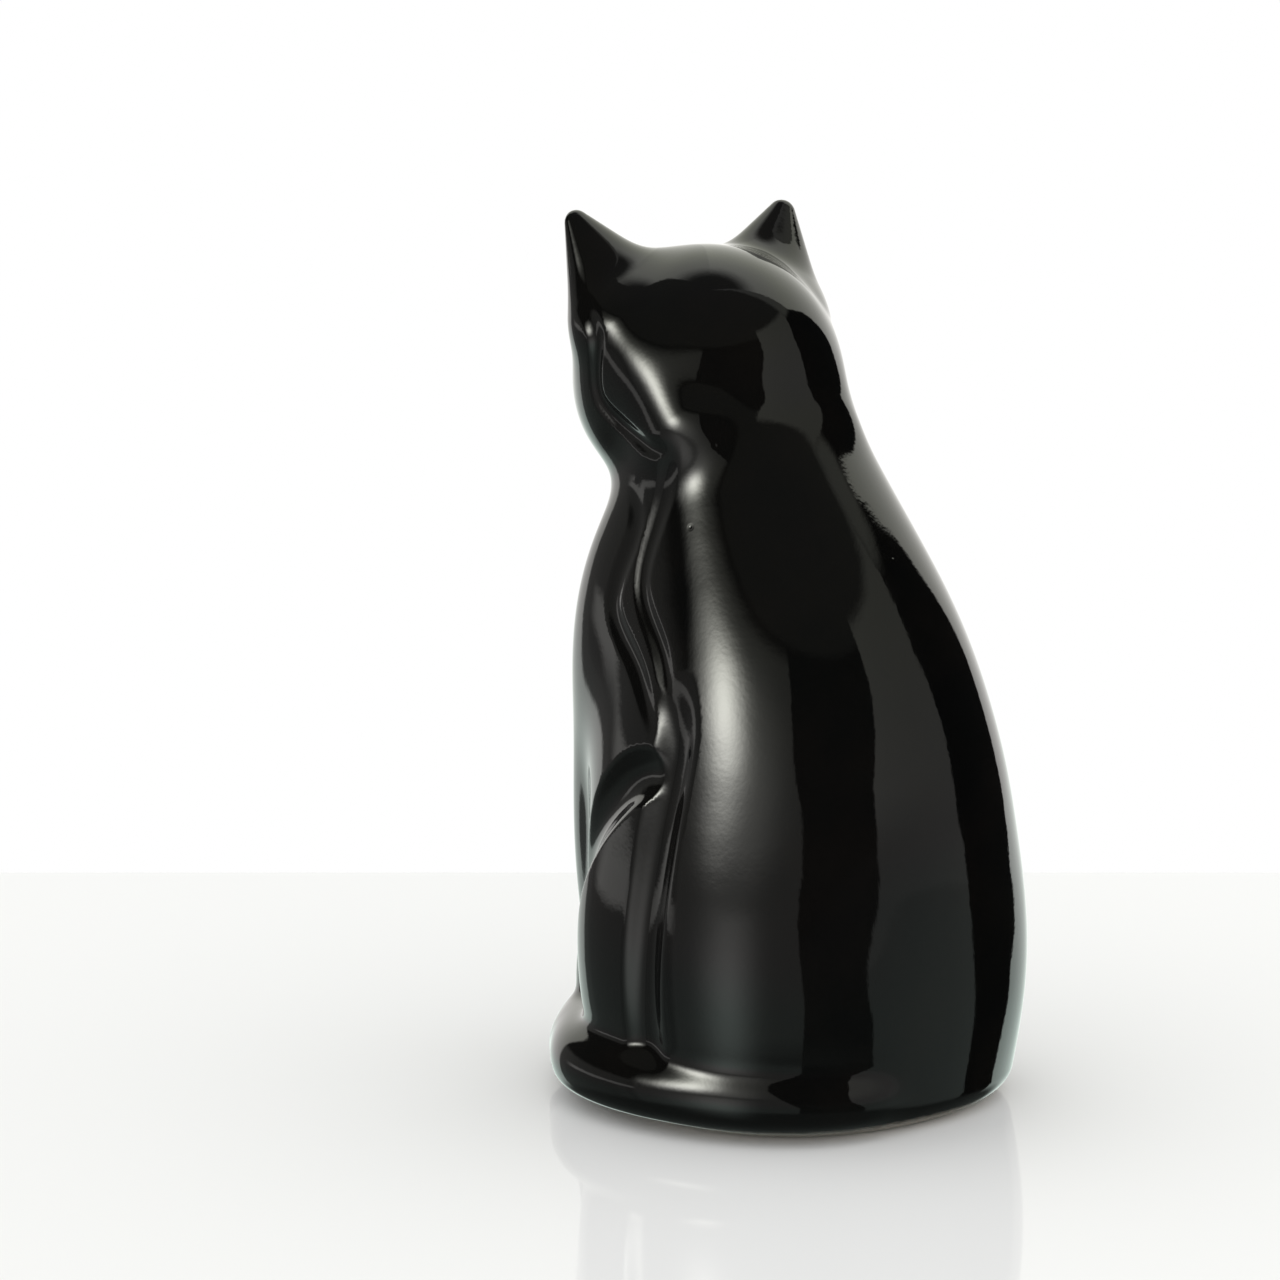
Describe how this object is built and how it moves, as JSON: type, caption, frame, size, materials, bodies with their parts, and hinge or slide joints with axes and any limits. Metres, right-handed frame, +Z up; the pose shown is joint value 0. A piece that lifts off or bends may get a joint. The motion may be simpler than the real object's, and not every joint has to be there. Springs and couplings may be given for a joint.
{
  "type": "ceramic cat figurine",
  "caption": "Hollow glazed ceramic figurine of a seated cat, head turned a little, tail wrapped round its left side, stoppered filling hole under the base.",
  "frame": {"origin": "on the resting plane (the undersides of the felt pads), below the middle of the outline seen from above, tail and back included", "axes": "+Z up, -Y is where the cat's chest faces, +X is the cat's left side, where the tail wraps"},
  "size_m": [0.141, 0.1571, 0.2678],
  "materials": {
    "glaze_body": "gloss",
    "glaze_head": "gloss",
    "glaze_ears": "gloss",
    "glaze_tail": "gloss",
    "bisque": "matte",
    "rubber_stopper": "matte",
    "felt": "matte"
  },
  "bodies": {
    "cat": {"torso_shell": "glaze_body", "head_shell": "glaze_head", "left_ear": "glaze_ears", "right_ear": "glaze_ears", "tail": "glaze_tail", "base_slab": "bisque", "pad_front_left": "felt", "pad_front_right": "felt", "pad_rear_left": "felt", "pad_rear_right": "felt"},
    "bung": {"stopper": "rubber_stopper"}
  },
  "joints": [
    {"name": "stopper_pull", "type": "slide", "parent": "cat", "child": "bung", "axis": [0, 0, -1], "range_m": [0, 0.02]}
  ]
}
